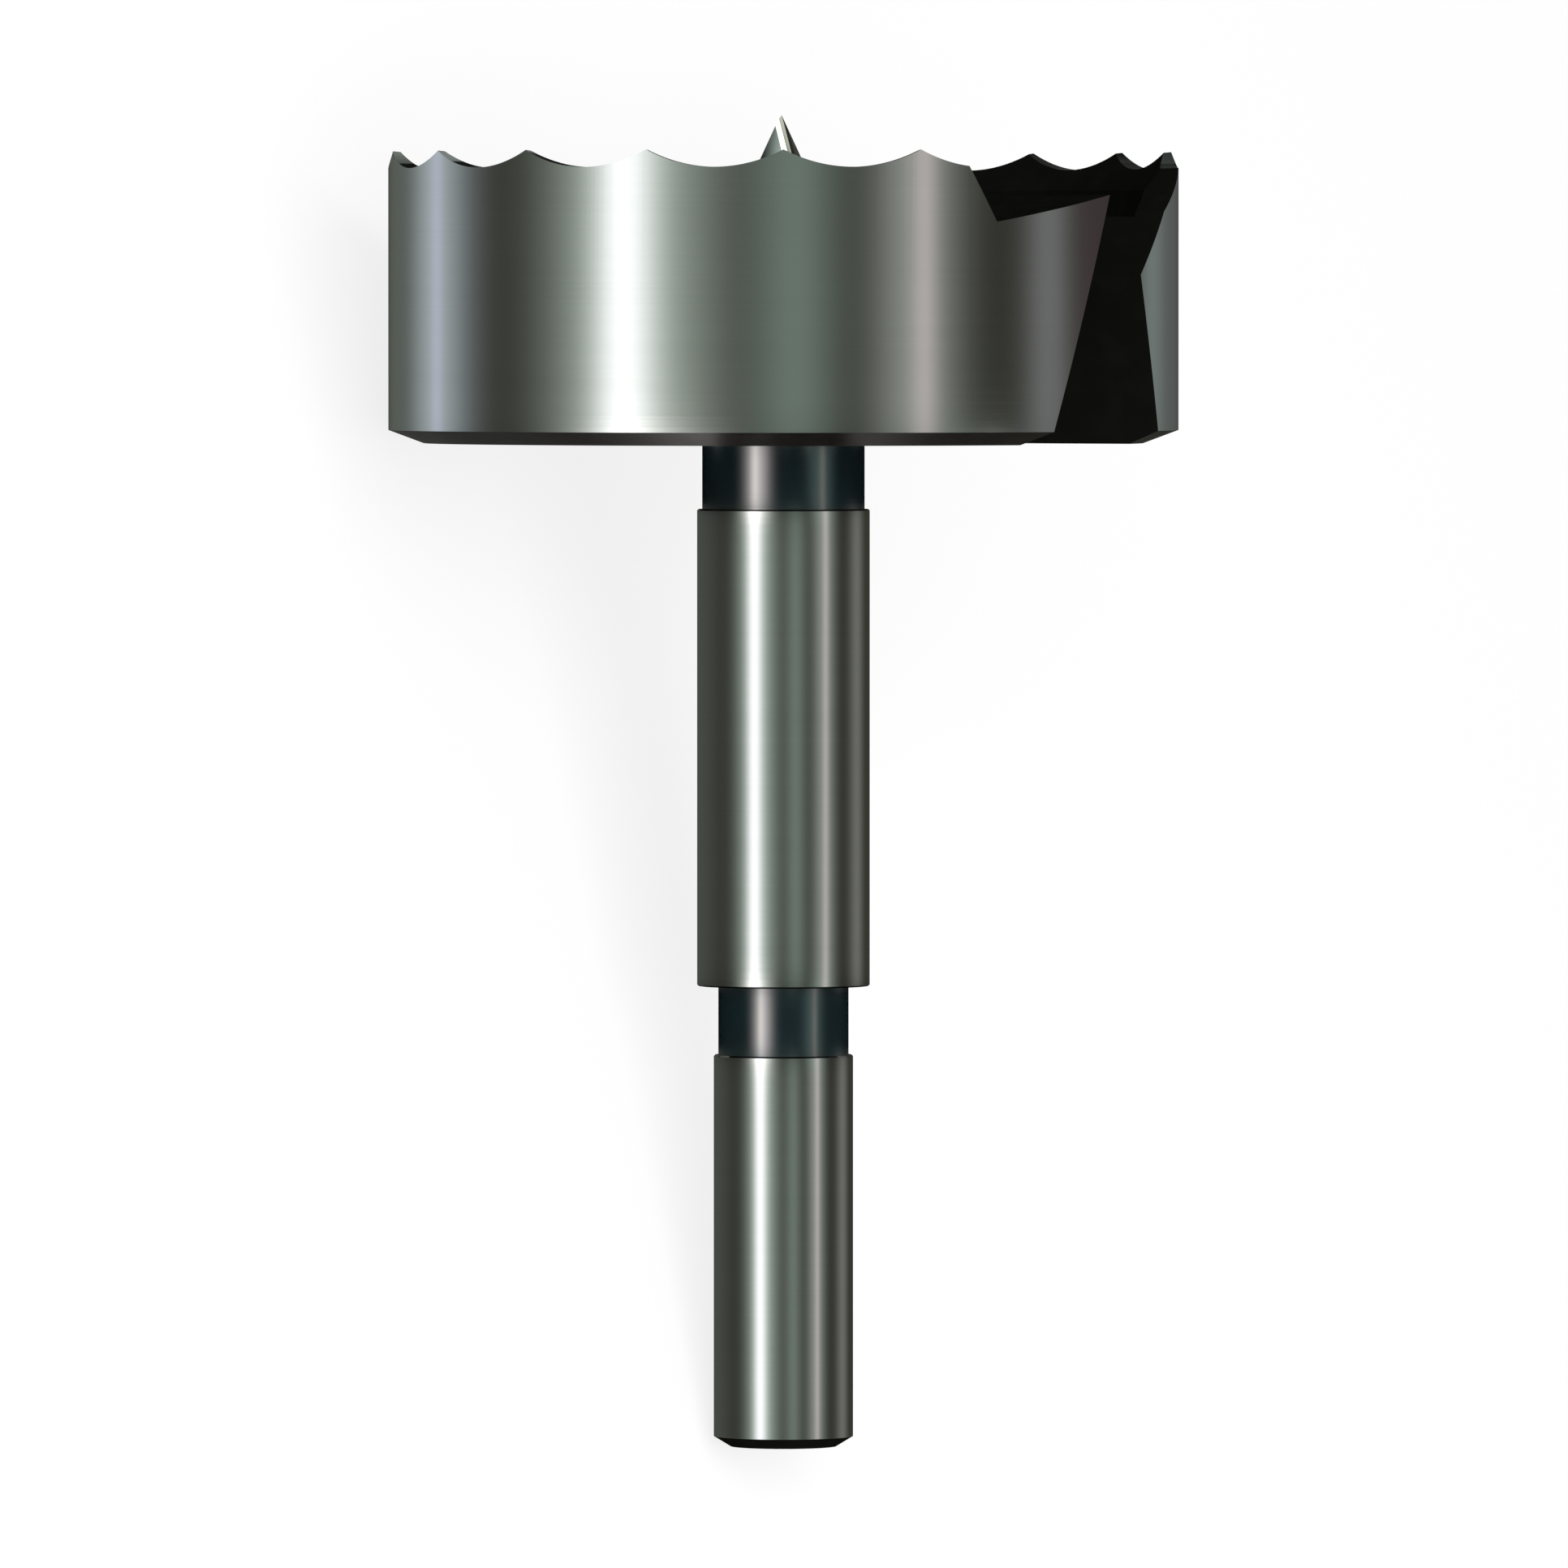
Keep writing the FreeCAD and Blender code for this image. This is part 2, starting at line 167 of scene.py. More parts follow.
@dataclass(frozen=True)
class PointSizes:
    """The four-sided centre point, with two opposite ridges ground flat.

    The far ridge has one flat. The near ridge, on the camera's side, has two, which meet along
    near_edge: its place against the tip that the point would have unground, along the ridge and
    across it. near_turns are the ways that those two flats face, from the ridge. reach is the
    distance from the axis to a ridge at the cutting edges, and flat is what the far flat takes
    off it there. root is how far the point's foot is sunk.
    """

    height: float = 5.5 * MM
    reach: float = 2.9 * MM
    flat: float = 0.62 * MM
    turn: float = math.radians(-25.5)
    root: float = 0.9 * MM
    near_edge: tuple[float, float] = (-0.455 * MM, -0.313 * MM)
    near_turns: tuple[float, float] = (math.radians(-29), math.radians(5))

    @property
    def slope(self) -> float:
        """How fast a ridge leaves the axis."""
        return self.reach / self.height

    @property
    def lost_tip(self) -> float:
        """How much lower the tip is for the flats on the near ridge."""
        across, aside = self.near_edge
        turn = self.near_turns[1]
        return -(across + aside * math.tan(turn)) / (2 * self.slope)


# Where the bit lies


@dataclass(frozen=True)
class Lie:
    """How the bit lies on the floor: two corners of a throat and the shank's end touch it."""

    lean: float
    roll: float
    foot: Vector

    @classmethod
    def from_sizes(cls, shank: ShankSizes, head: HeadSizes, low: Vector) -> Lie:
        """Works the lie out from the corners that touch the floor.

        Args:
            shank: Sizes of the turned length.
            head: Sizes of the head.
            low: The lowest corner of the CAD solid's box.

        Returns:
            The lean of the axis, the roll about it, and where the shank's end lies.
        """
        rise = head.edge - head.wall_foot
        rake_corner = math.asin(-rise * math.tan(head.rake_angle) / head.head_r)
        drop = head.nose - head.wall_foot
        flare_width = head.nose_gap + drop * math.tan(head.flare_angle)
        flare_corner = math.asin(flare_width / head.head_r)
        reach = head.head_r * math.cos((flare_corner - rake_corner) / 2)
        run = head.wall_foot - shank.bevel_height
        lean = math.atan((reach - shank.shank_r) / run)
        end_r = shank.shank_r - shank.bevel_width
        height = reach * math.cos(lean) - head.wall_foot * math.sin(lean)
        foot = Vector((low.x + end_r * math.sin(lean), 0.0, height))
        return cls(lean=lean, roll=(rake_corner + flare_corner) / 2, foot=foot)

    @property
    def along(self) -> Vector:
        """Direction of the bit's axis, from the shank towards the point."""
        return Vector((math.cos(self.lean), 0.0, math.sin(self.lean)))

    @property
    def upward(self) -> Vector:
        """Direction square to the axis that points most nearly up."""
        return Vector((-math.sin(self.lean), 0.0, math.cos(self.lean)))

    @property
    def turn(self) -> Matrix:
        """Rotation from the upright bit to the lying one."""
        columns = Matrix((self.upward, Vector((0.0, -1.0, 0.0)), self.along)).transposed()
        return columns @ Matrix.Rotation(-self.roll, 3, "Z")

    @property
    def matrix(self) -> Matrix:
        """Place of the lying bit, as a whole transform."""
        return Matrix.Translation(self.foot) @ self.turn.to_4x4()

    def on_axis(self, height: float) -> Vector:
        """The point of the lying bit's axis at a height of the upright one."""
        return self.foot + self.along * height


# Nodes


class Wire:
    """A shader socket that Python's arithmetic works on."""

    def __init__(self, desk: NodeDesk, socket: bpy.types.NodeSocket) -> None:
        """Wraps an output socket of a tree."""
        self.desk = desk
        self.socket = socket

    def _maths(self, operation: str, *values: Wire | float) -> Wire:
        """Adds one Math node."""
        return self.desk.add("ShaderNodeMath", {"operation": operation}, dict(enumerate(values)))

    def __add__(self, other: Wire | float) -> Wire:
        """Sum."""
        return self._maths("ADD", self, other)

    __radd__ = __add__

    def __mul__(self, other: Wire | float) -> Wire:
        """Product."""
        return self._maths("MULTIPLY", self, other)

    __rmul__ = __mul__

    def __sub__(self, other: Wire | float) -> Wire:
        """Difference."""
        return self._maths("SUBTRACT", self, other)

    def __rsub__(self, other: float) -> Wire:
        """Difference from a number."""
        return self._maths("SUBTRACT", other, self)

    def __truediv__(self, other: Wire | float) -> Wire:
        """Quotient."""
        return self._maths("DIVIDE", self, other)

    def __rtruediv__(self, other: float) -> Wire:
        """Quotient of a number."""
        return self._maths("DIVIDE", other, self)

    def clamped(self) -> Wire:
        """The value held between nought and one."""
        return self.desk.add("ShaderNodeClamp", {}, {0: self})

    def smooth(self, low: float, high: float) -> Wire:
        """An even step from nought at low to one at high."""
        settings = {"interpolation_type": "SMOOTHSTEP"}
        return self.desk.add("ShaderNodeMapRange", settings, {0: self, 1: low, 2: high})


class NodeDesk:
    """One node tree, and the methods that add nodes to it."""

    def __init__(self, tree: bpy.types.NodeTree) -> None:
        """Clears the tree."""
        tree.nodes.clear()
        self.tree = tree

    def add(
        self, kind: str, settings: dict[str, object], inputs: dict[object, object], out: object = 0
    ) -> Wire:
        """Adds a node.

        Args:
            kind: The node's type.
            settings: Its own settings, which are set first.
            inputs: Values or wires for its sockets, by name or number.
            out: The output socket to return, by name or number.

        Returns:
            The output socket, wrapped.
        """
        node = self.tree.nodes.new(kind)
        for name, value in settings.items():
            setattr(node, name, value)
        for name, value in inputs.items():
            if isinstance(value, Wire):
                self.tree.links.new(value.socket, node.inputs[name])
            else:
                node.inputs[name].default_value = value
        return Wire(self, node.outputs[out]) if len(node.outputs) else Wire(self, None)

    def mix_colour(self, amount: Wire | float, first: object, second: object) -> Wire:
        """A blend of two colours."""
        settings = {"data_type": "RGBA"}
        return self.add("ShaderNodeMix", settings, {0: amount, 6: first, 7: second}, out=2)

    def scaled(self, vector: object, amount: Wire | float) -> Wire:
        """A colour or vector times a number."""
        settings = {"operation": "SCALE"}
        return self.add("ShaderNodeVectorMath", settings, {0: vector, 3: amount})

    def sum_of(self, first: object, second: object) -> Wire:
        """The sum of two colours or vectors."""
        return self.add("ShaderNodeVectorMath", {"operation": "ADD"}, {0: first, 1: second})

    def split(self, vector: Wire) -> tuple[Wire, Wire, Wire]:
        """The three parts of a vector."""
        first = self.add("ShaderNodeSeparateXYZ", {}, {0: vector})
        node = first.socket.node
        return first, Wire(self, node.outputs[1]), Wire(self, node.outputs[2])

    def joined(self, x: object, y: object, z: object) -> Wire:
        """A vector made of three parts."""
        return self.add("ShaderNodeCombineXYZ", {}, {0: x, 1: y, 2: z})

    def place_in(self, frame: Matrix) -> Wire:
        """A point's place seen from a frame, such as the upright bit's."""
        coordinates = self.add("ShaderNodeTexCoord", {}, {}, out="Object")
        back = frame.inverted()
        return self.add(
            "ShaderNodeMapping", {"vector_type": "POINT"},
            {"Vector": coordinates, "Location": back.translation, "Rotation": back.to_euler()},
        )

    def noise(self, place: Wire, scale: float, detail: float = 2.0) -> Wire:
        """Smooth noise about one half."""
        settings = {"noise_dimensions": "3D"}
        return self.add(
            "ShaderNodeTexNoise", settings, {"Vector": place, "Scale": scale, "Detail": detail}
        )

    def sight_rays(self) -> Wire:
        """One for what the camera sees, straight or in metal or glass, else nought."""
        rays = self.add("ShaderNodeLightPath", {}, {}, out="Is Camera Ray")
        outputs = rays.socket.node.outputs
        in_metal = Wire(self, outputs["Is Glossy Ray"])
        through = Wire(self, outputs["Is Transmission Ray"])
        return (rays + in_metal + through).clamped()

    def ring_noise(self, place: Wire, pitch: float, drift: float, detail: float) -> Wire:
        """Noise drawn out into rings about the bit's axis.

        Args:
            place: A point's place, seen from the upright bit's frame.
            pitch: About how far apart the rings are.
            drift: How fast a ring changes on its way round, for each metre across.
            detail: How rough the noise is.

        Returns:
            The noise, about one half.
        """
        x, y, z = self.split(place)
        return self.noise(self.joined(x * drift, y * drift, z / pitch), 1.0, detail)

    def varied(self, mean: float, *swings: tuple[Wire, float]) -> Wire:
        """A value that noise sways about its mean.

        Args:
            mean: The mean value.
            swings: Each noise, and how much the value changes over the noise's whole range.

        Returns:
            The value.
        """
        total: Wire | float = mean - sum(swing for _, swing in swings) / 2
        for noise, swing in swings:
            total = noise * swing + total
        return total

    def bump(self, height: Wire, distance: float, strength: float = 1.0) -> Wire:
        """A surface normal shaken by a height."""
        inputs = {"Height": height, "Distance": distance, "Strength": strength}
        return self.add("ShaderNodeBump", {}, inputs)

    def show(self, kind: str, inputs: dict[object, object]) -> None:
        """Adds a material's shader, and the output node that shows it."""
        shader = self.add(kind, {}, inputs)
        self.add("ShaderNodeOutputMaterial", {}, {"Surface": shader})


def new_material(name: str) -> tuple[bpy.types.Material, NodeDesk]:
    """Makes an empty material.

    Args:
        name: The material's name.

    Returns:
        The material, and the desk for its nodes.
    """
    material = bpy.data.materials.new(name)
    material.use_nodes = True
    return material, NodeDesk(material.node_tree)


# Finishes


class FinishName(Enum):
    """The finishes that the bit has."""

    GROUND = "ground_steel"
    BLUED = "blued_neck"
    BLACKENED = "blackened_steel"
    BASE = "blackened_base"
    HONED = "honed_edge"


@dataclass(frozen=True)
class GroundSteel:
    """Tool steel ground between centres: bright, faintly green, with fine rings round the bit.

    The swings are how much the fine rings, the wide rings and the marks of handling change the
    shade and the roughness. Hand honing also rounds the surface: rounding is how much it falls
    away, for each square of the distance from the axis.
    """

    colour: Colour = (0.46, 0.475, 0.455)
    roughness: float = 0.085
    ring_pitch: float = 0.16 * MM
    ring_drift: float = 60.0
    wide_ring_pitch: float = 4 / 3 * MM
    wide_ring_drift: float = 25.0
    ring_depth: float = 0.0003 * MM
    ring_share: float = 0.7
    handling_scale: float = 90.0
    shade_swings: tuple[float, float, float] = (0.05, 0.06, 0.05)
    roughness_swings: tuple[float, float, float] = (0.04, 0.0, 0.05)
    rounding: float = 0.0

    def make(self, lie: Lie, name: str) -> bpy.types.Material:
        """Makes the material.

        Args:
            lie: How the bit lies, for rings that follow its axis.
            name: The material's name.

        Returns:
            The material.
        """
        material, desk = new_material(name)
        place = desk.place_in(lie.matrix)
        rings = desk.ring_noise(place, self.ring_pitch, self.ring_drift, detail=3.0)
        wide_rings = desk.ring_noise(
            place, self.wide_ring_pitch, self.wide_ring_drift, detail=2.0
        )
        handling = desk.noise(place, self.handling_scale, detail=4.0)
        noises = (rings, wide_rings, handling)
        shade = desk.varied(1.0, *zip(noises, self.shade_swings))
        roughness = desk.varied(self.roughness, *zip(noises, self.roughness_swings))
        mixed_rings = rings * self.ring_share + wide_rings * (1 - self.ring_share)
        grooves = mixed_rings * self.ring_depth
        x, y, _ = desk.split(place)
        rounded = (x * x + y * y) * -self.rounding
        inputs = {
            "Base Color": desk.scaled(self.colour, shade), "Roughness": roughness,
            "Normal": desk.bump(grooves + rounded, 1.0), "Metallic": 1.0,
        }
        desk.show("ShaderNodeBsdfPrincipled", inputs)
        return material


@dataclass(frozen=True)
class BluedSteel:
    """Glossy steel blued nearly black, as in the two necks."""

    colour: Colour = (0.0060, 0.0110, 0.0120)
    cold: Colour = (0.0052, 0.0122, 0.0142)
    roughness: float = 0.065
    roughness_swing: float = 0.03
    refraction: float = 2.0
    mark_pitch: float = 0.22 * MM
    mark_drift: float = 50.0
    mark_depth: float = 0.0005 * MM
    mark_strength: float = 0.5
    cloud_scale: float = 260.0
    cloud_edges: tuple[float, float] = (0.35, 0.65)

    def make(self, lie: Lie, name: str) -> bpy.types.Material:
        """Makes the material.

        Args:
            lie: How the bit lies, for turning marks that follow its axis.
            name: The material's name.

        Returns:
            The material.
        """
        material, desk = new_material(name)
        place = desk.place_in(lie.matrix)
        marks = desk.ring_noise(place, self.mark_pitch, self.mark_drift, detail=2.0)
        clouds = desk.noise(place, self.cloud_scale, detail=3.0)
        share = clouds.smooth(*self.cloud_edges)
        swings = ((marks, self.roughness_swing), (clouds, self.roughness_swing))
        inputs = {
            "Base Color": desk.mix_colour(share, (*self.colour, 1), (*self.cold, 1)),
            "Roughness": desk.varied(self.roughness, *swings), "Metallic": 0.0,
            "Normal": desk.bump(marks, self.mark_depth, self.mark_strength),
            "IOR": self.refraction,
        }
        desk.show("ShaderNodeBsdfPrincipled", inputs)
        return material


@dataclass(frozen=True)
class BlackenedSteel:
    """Black oxide on milled or forged steel, dull and faintly mottled."""

    colour: Colour = (0.0040, 0.0040, 0.0034)
    worn: Colour = (0.0050, 0.0050, 0.0043)
    roughness: float = 0.55
    roughness_swing: float = 0.16
    gloss: float = 0.0
    mark_pitch: float = 0.35 * MM
    mark_drift: float = 90.0
    mark_depth: float = 0.006 * MM
    mark_share: float = 0.6
    mark_strength: float = 0.6
    mottle_scale: float = 420.0
    mottle_edges: tuple[float, float] = (0.42, 0.72)

    def make(self, lie: Lie, name: str) -> bpy.types.Material:
        """Makes the material.

        Args:
            lie: How the bit lies, for milling marks that follow its axis.
            name: The material's name.

        Returns:
            The material.
        """
        material, desk = new_material(name)
        place = desk.place_in(lie.matrix)
        x, y, z = desk.split(place)
        lines = desk.joined(x / self.mark_pitch, y * self.mark_drift, z * self.mark_drift)
        marks = desk.noise(lines, 1.0, detail=2.0)
        mottle = desk.noise(place, self.mottle_scale, detail=5.0)
        share = mottle.smooth(*self.mottle_edges)
        relief = marks * self.mark_share + mottle * (1 - self.mark_share)
        inputs = {
            "Base Color": desk.mix_colour(share, (*self.colour, 1), (*self.worn, 1)),
            "Roughness": desk.varied(self.roughness, (mottle, self.roughness_swing)),
            "Normal": desk.bump(relief, self.mark_depth, self.mark_strength),
            "Metallic": 0.0, "Specular IOR Level": self.gloss,
        }
        desk.show("ShaderNodeBsdfPrincipled", inputs)
        return material


@dataclass(frozen=True)
class Finishes:
    """All finishes, made once and shared by the pieces."""

    made: dict[FinishName, bpy.types.Material]

    @classmethod
    def make(cls, lie: Lie) -> Finishes:
        """Makes every finish for a bit that lies so."""
        recipes = {
            FinishName.GROUND: GroundSteel(),
            FinishName.BLUED: BluedSteel(),
            FinishName.BLACKENED: BlackenedSteel(),
            FinishName.BASE: BlackenedSteel(
                colour=(0.0080, 0.0060, 0.0052), worn=(0.0110, 0.0085, 0.0075),
                roughness=0.24, gloss=0.5,
            ),
            FinishName.HONED: GroundSteel(
                colour=(0.50, 0.52, 0.49), roughness=0.12, rounding=0.08 / MM
            ),
        }
        return cls({name: recipe.make(lie, name.value) for name, recipe in recipes.items()})

    def __getitem__(self, name: FinishName) -> bpy.types.Material:
        """One finish."""
        return self.made[name]


# Modelling


def deselect_all() -> None:
    """Leaves nothing selected."""
    if bpy.context.object and bpy.context.object.mode != "OBJECT":
        bpy.ops.object.mode_set(mode="OBJECT")
    bpy.ops.object.select_all(action="DESELECT")


def pick(thing: bpy.types.Object) -> None:
    """Selects one object and nothing else."""
    deselect_all()
    thing.select_set(True)
    bpy.context.view_layer.objects.active = thing


def just_added(name: str) -> bpy.types.Object:
    """Names the primitive that was added last."""
    thing = bpy.context.object
    thing.name = name
    thing.data.name = name
    return thing


def apply_place(thing: bpy.types.Object) -> None:
    """Moves an object's place into its mesh."""
    pick(thing)
    bpy.ops.object.transform_apply(location=True, rotation=True, scale=True)


def turned_copy(thing: bpy.types.Object, angle: float) -> bpy.types.Object:
    """A copy with its own mesh, turned about the bit's axis."""
    other = thing.copy()
    other.data = thing.data.copy()
    bpy.context.scene.collection.objects.link(other)
    other.matrix_world = Matrix.Rotation(angle, 4, "Z") @ thing.matrix_world
    apply_place(other)
    return other


def turn_bar(name: str, profile: list[tuple[float, float]], segments: int) -> bpy.types.Object:
    """Turns a solid from a disc, as on a lathe.

    Args:
        name: The object's name.
        profile: Radius and height at each step up the axis.
        segments: Facets round the bar.

    Returns:
        The solid.
    """
    deselect_all()
    radius, height = profile[0]
    bpy.ops.mesh.primitive_circle_add(
        vertices=segments, radius=radius, fill_type="NGON", location=(0, 0, height)
    )
    thing = just_added(name)
    apply_place(thing)
    bpy.ops.object.mode_set(mode="EDIT")
    bpy.ops.mesh.select_all(action="SELECT")
    for next_radius, next_height in profile[1:]:
        shift = {"value": (0, 0, next_height - height)}
        bpy.ops.mesh.extrude_region_move(TRANSFORM_OT_translate=shift)
        if next_radius != radius:
            factor = next_radius / radius
            bpy.ops.transform.resize(
                value=(factor, factor, 1), center_override=(0, 0, next_height)
            )
        radius, height = next_radius, next_height
    bpy.ops.mesh.select_all(action="SELECT")
    bpy.ops.mesh.normals_make_consistent(inside=False)
    bpy.ops.object.mode_set(mode="OBJECT")
    return thing


def trim(thing: bpy.types.Object, point: Vector, outward: Vector) -> None:
    """Cuts a closed solid off at a plane and closes the cut.

    Args:
        thing: The solid.
        point: A point of the plane.
        outward: The side that is taken away.
    """
    pick(thing)
    bpy.ops.object.mode_set(mode="EDIT")
    bpy.ops.mesh.select_all(action="SELECT")
    bpy.ops.mesh.bisect(
        plane_co=point, plane_no=outward.normalized(), use_fill=True, clear_outer=True
    )
    bpy.ops.object.mode_set(mode="OBJECT")


def combine(body: bpy.types.Object, tool: bpy.types.Object, how: str) -> None:
    """Cuts a tool's shape out of a body, or adds it, and removes the tool.

    Args:
        body: The solid that is worked on.
        tool: The closed shape that is cut out or added.
        how: DIFFERENCE or UNION.
    """
    pick(body)
    step = body.modifiers.new("step", "BOOLEAN")
    step.operation = how
    step.solver = "EXACT"
    step.use_self = False
    step.material_mode = "TRANSFER"
    step.object = tool
    bpy.ops.object.modifier_apply(modifier=step.name)
    bpy.data.objects.remove(tool, do_unlink=True)


def merge_close(thing: bpy.types.Object) -> None:
    """Merges corners that a cut left side by side, and turns all faces outwards."""
    pick(thing)
    bpy.ops.object.mode_set(mode="EDIT")
    bpy.ops.mesh.select_all(action="SELECT")
    bpy.ops.mesh.remove_doubles(threshold=MERGE_GAP)
    bpy.ops.mesh.dissolve_degenerate(threshold=SLIVER)
    bpy.ops.mesh.fill_holes(sides=HOLE_SIDES)
    bpy.ops.mesh.normals_make_consistent(inside=False)
    bpy.ops.object.mode_set(mode="OBJECT")


def paint(thing: bpy.types.Object, material: bpy.types.Material) -> None:
    """Gives a whole object one finish."""
    thing.data.materials.clear()
    thing.data.materials.append(material)


@dataclass(frozen=True)
class Bit:
    """The whole bit, modelled upright as one solid."""

    shank: ShankSizes
    head: HeadSizes
    point: PointSizes
    lie: Lie
    finishes: Finishes
    segments: int = 540
    scallop_segments: int = 192
    corner_segments: int = 8
    smooth_limit: float = math.radians(12)
    shaving: float = 0.01 * MM

    def profile(self) -> list[tuple[float, float]]:
        """Radius and height of the lathe work, up the axis."""
        shank, head = self.shank, self.head
        return [
            (shank.shank_r - shank.bevel_width, 0.0),
            (shank.shank_r, shank.bevel_height),
            (shank.shank_r, shank.shank_top - shank.edge_break),
            (shank.shank_r - shank.edge_break, shank.shank_top),
            (shank.lower_neck_r, shank.shank_top),
            (shank.lower_neck_r, shank.lower_neck_top),
            (shank.collar_r - shank.edge_break, shank.lower_neck_top),
            (shank.collar_r, shank.lower_neck_top + shank.edge_break),
            (shank.collar_r, shank.collar_top - shank.edge_break),
            (shank.collar_r - shank.edge_break, shank.collar_top),
            (shank.upper_neck_r, shank.collar_top),
            (shank.upper_neck_r, head.base),
            (head.head_r - head.base_bevel_width, head.base),
            (head.head_r, head.wall_foot),
            (head.head_r, head.tips + head.overrun),
            (head.head_r - head.rim_lip, head.tips + head.overrun),
            (head.head_r - head.rim_lip, head.tips),
            (head.recess_r, head.tips - head.rim_bevel_depth),
            (head.recess_r, head.core_floor),
        ]

    def build(self) -> bpy.types.Object:
        """Turns, cuts and dresses the bit, and lays it on the floor."""
        bit = turn_bar("boring_bit", self.profile(), self.segments)
        self.dress_lathe_work(bit)
        self.cut_teeth(bit)
        self.raise_core(bit)
        self.cut_throats(bit)
        self.add_centre_point(bit)
        merge_close(bit)
        bit.matrix_world = self.lie.matrix
        apply_place(bit)
        bpy.ops.object.shade_smooth_by_angle(angle=self.smooth_limit)
        return bit

    def dress_lathe_work(self, bit: bpy.types.Object) -> None:
        """Gives each turned face its finish."""
        order = list(FinishName)
        for name in order:
            bit.data.materials.append(self.finishes[name])
        for face in bit.data.polygons:
            face.material_index = order.index(self.turned_finish(face.center, face.normal))

    def turned_finish(self, middle: Vector, normal: Vector) -> FinishName:
        """Picks the finish of one turned face.

        Args:
            middle: The face's middle.
            normal: The way it faces.

        Returns:
            The finish, by the face's height, radius and slope.
        """
        shank, head = self.shank, self.head
        radius = math.hypot(middle.x, middle.y)
        if middle.z < shank.bevel_height - SEAM_GAP:
            return FinishName.BLACKENED
        if middle.z < head.base - SEAM_GAP:
            lower = shank.shank_top - SEAM_GAP < middle.z < shank.lower_neck_top + SEAM_GAP
            upper = middle.z > shank.collar_top - SEAM_GAP
            inside = radius < (shank.shank_r if lower else shank.collar_r)
            edge_break = 0.3 < abs(normal.z) < 0.9
            in_neck = (lower or upper) and inside and not edge_break
            return FinishName.BLUED if in_neck else FinishName.GROUND
        if middle.z < head.wall_foot - SEAM_GAP:
            return FinishName.BASE
        if radius > head.head_r - head.rim_lip:
            return FinishName.GROUND
        return FinishName.BLACKENED

    def cut_teeth(self, bit: bpy.types.Object) -> None:
        """Cuts the scallops, each with a round tool that points at the axis."""
        head = self.head
        pitch = 2 * math.pi / head.tooth_count
        half = head.head_r * math.sin(pitch / 2)
        radius = (half**2 + head.tooth_depth**2) / (2 * head.tooth_depth)
        depth = head.rim_thickness + 2 * head.overrun
        reach = head.head_r + head.overrun - depth / 2
        deselect_all()
        bpy.ops.mesh.primitive_cylinder_add(
            vertices=self.scallop_segments, radius=radius, depth=depth,
            location=(reach, 0, head.tips - head.tooth_depth + radius),
            rotation=(0, math.pi / 2, 0),
        )
        first = just_added("scallop_tool")
        paint(first, self.finishes[FinishName.GROUND])
        apply_place(first)
        for index in range(head.tooth_count):
            combine(bit, turned_copy(first, head.tooth_turn + index * pitch), "DIFFERENCE")
        bpy.data.objects.remove(first, do_unlink=True)

    def raise_core(self, bit: bpy.types.Object) -> None:
        """Adds the core's top, whose two slopes meet in a ridge that holds both cutting edges."""
        head = self.head
        depth = head.edge + head.overrun - head.core_floor + head.overrun
        deselect_all()
        bpy.ops.mesh.primitive_cylinder_add(
            vertices=self.segments // 2, radius=head.recess_r + head.rim_thickness / 4, depth=depth,
            location=(0, 0, head.edge + head.overrun - depth / 2),
        )
        core = just_added("core")
        apply_place(core)
        for side in (1, -1):
            fall = side * math.tan(head.relief_angle)
            trim(core, Vector((0, 0, head.edge)), Vector((0, fall, 1)))
        paint(core, self.finishes[FinishName.BLACKENED])
        combine(bit, core, "UNION")

    def throat_outline(self) -> list[tuple[float, float]]:
        """Corners of a throat, seen along the radius: forward of the edge, and height."""
        head = self.head
        top, low = head.tips + head.overrun, head.base - head.overrun
        edge = head.edge - self.shaving
        notch_floor = edge - head.notch_length * math.tan(head.relief_angle)
        knee = head.nose_gap + head.ramp_rise / math.tan(head.ramp_angle)
        knee_height = head.nose + head.ramp_rise
        return [
            (-head.notch_length - (top - notch_floor) * math.tan(head.notch_angle), top),
            (-head.notch_length, notch_floor),
            (-self.shaving, edge),
            (-(head.edge - low) * math.tan(head.rake_angle), low),
            (head.nose_gap + (head.nose - low) * math.tan(head.flare_angle), low),
            (head.nose_gap, head.nose),
            (knee, knee_height),
            (knee + (top - knee_height) / math.tan(head.crown_angle), top),
        ]

    def cut_throats(self, bit: bpy.types.Object) -> None:
        """Cuts the chip throats, with the round corners that a milling cutter leaves."""
        head = self.head
        corners = self.throat_outline()
        deselect_all()
        bpy.ops.mesh.primitive_circle_add(
            vertices=len(corners), radius=head.head_r, fill_type="NGON"
        )
        tool = just_added("throat_tool")
        for vertex, (forward, height) in zip(tool.data.vertices, corners):
            vertex.co = (0.0, forward, height)
        bpy.ops.object.mode_set(mode="EDIT")
        bpy.ops.mesh.select_all(action="SELECT")
        shift = {"value": (head.head_r + head.overrun, 0, 0)}
        bpy.ops.mesh.extrude_region_move(TRANSFORM_OT_translate=shift)
        bpy.ops.mesh.select_all(action="SELECT")
        bpy.ops.mesh.normals_make_consistent(inside=False)
        bpy.ops.object.mode_set(mode="OBJECT")
        paint(tool, self.finishes[FinishName.BLACKENED])
        trim(tool, Vector((head.web_top, 0, head.edge)), Vector((-1, 0, -head.web_slope)))
        self.round_inner_corners(tool)
        combine(bit, turned_copy(tool, math.pi), "DIFFERENCE")
        combine(bit, tool, "DIFFERENCE")

